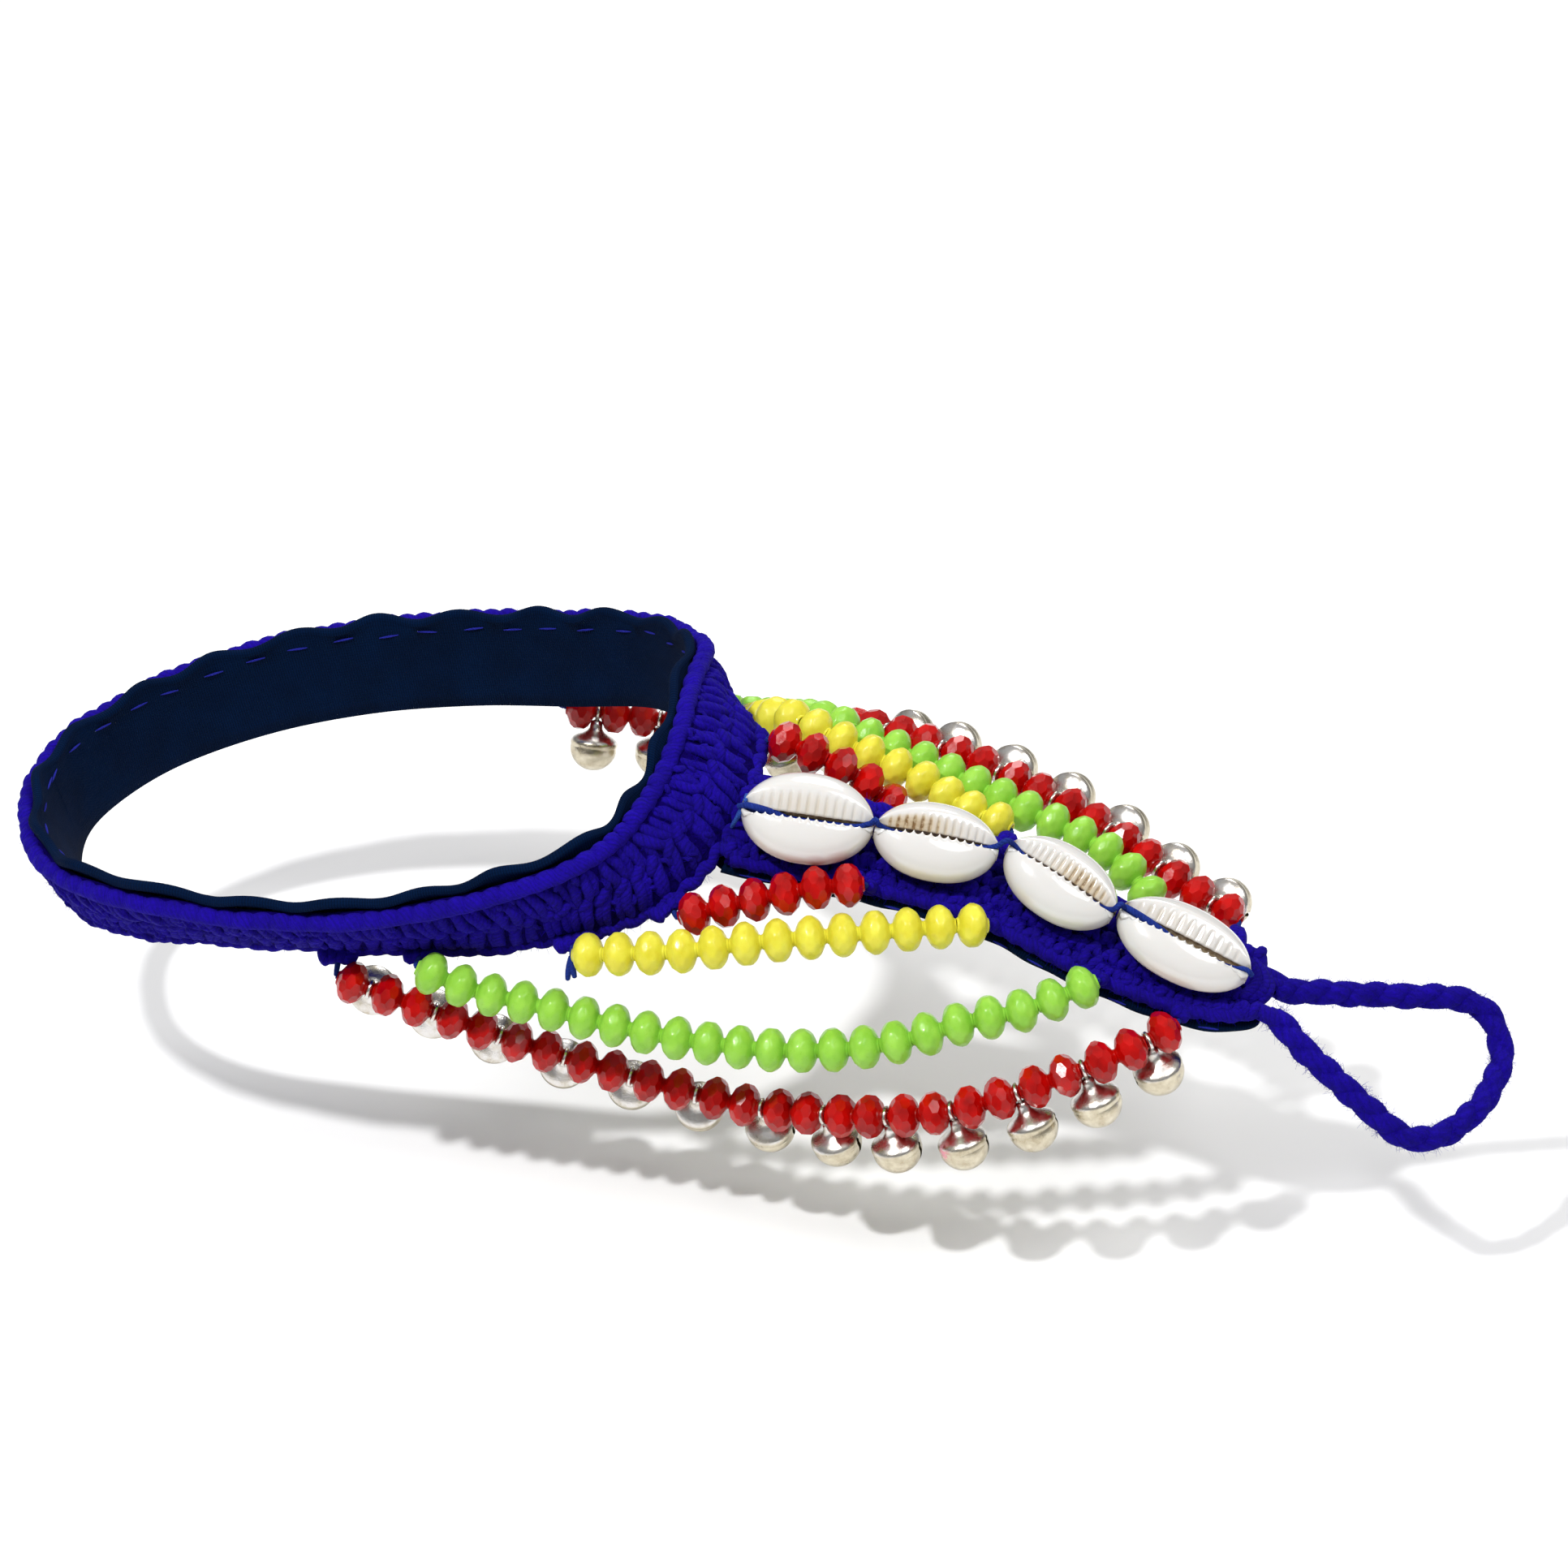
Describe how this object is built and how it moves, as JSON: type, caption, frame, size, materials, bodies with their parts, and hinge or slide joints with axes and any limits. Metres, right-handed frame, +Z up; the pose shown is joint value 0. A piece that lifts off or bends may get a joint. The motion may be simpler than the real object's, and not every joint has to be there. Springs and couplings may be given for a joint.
{
  "type": "anklet",
  "caption": "Anklet worn over the instep: crocheted ankle band and strap with cowrie shells, a toe loop, and strings of coloured beads with bells on both sides.",
  "frame": {"origin": "middle of the ankle opening, where the anklet sits on the ankle", "axes": "+X to the toes, +Y to the outer side of the foot, +Z up"},
  "size_m": [0.2463, 0.0964, 0.0662],
  "materials": {
    "crochet": "crocheted yarn",
    "lining": "ribbed cloth",
    "thread": "twisted cord",
    "shell": "glossy natural shell",
    "bead_red": "glossy, faceted",
    "bead_yellow": "glossy, faceted",
    "bead_green": "glossy, faceted",
    "bell_metal": "polished plating"
  },
  "bodies": {
    "root": {"band": "crochet", "band_lining": "lining", "strap": "crochet", "strap_lining": "lining", "toe_loop": "crochet", "shell_cord": "thread", "cowrie_1": "shell", "cowrie_2": "shell", "cowrie_3": "shell", "cowrie_4": "shell", "near_red_beads": "bead_red", "near_red_thread": "thread", "near_yellow_beads": "bead_yellow", "near_yellow_thread": "thread", "near_green_beads": "bead_green", "near_green_thread": "thread", "near_bell_beads": "bead_red", "near_bell_thread": "thread", "far_red_beads": "bead_red", "far_red_thread": "thread", "far_yellow_beads": "bead_yellow", "far_yellow_thread": "thread", "far_green_beads": "bead_green", "far_green_thread": "thread", "far_bell_beads": "bead_red", "far_bell_thread": "thread", "near_bell_1": "bell_metal", "near_bell_2": "bell_metal", "near_bell_3": "bell_metal", "near_bell_4": "bell_metal", "near_bell_5": "bell_metal", "near_bell_6": "bell_metal", "near_bell_7": "bell_metal", "near_bell_8": "bell_metal", "near_bell_9": "bell_metal", "near_bell_10": "bell_metal", "near_bell_11": "bell_metal", "near_bell_12": "bell_metal", "near_bell_13": "bell_metal", "far_bell_1": "bell_metal", "far_bell_2": "bell_metal", "far_bell_3": "bell_metal", "far_bell_4": "bell_metal", "far_bell_5": "bell_metal", "far_bell_6": "bell_metal", "far_bell_7": "bell_metal", "far_bell_8": "bell_metal", "far_bell_9": "bell_metal", "far_bell_10": "bell_metal", "far_bell_11": "bell_metal", "far_bell_12": "bell_metal", "far_bell_13": "bell_metal"}
  },
  "joints": []
}
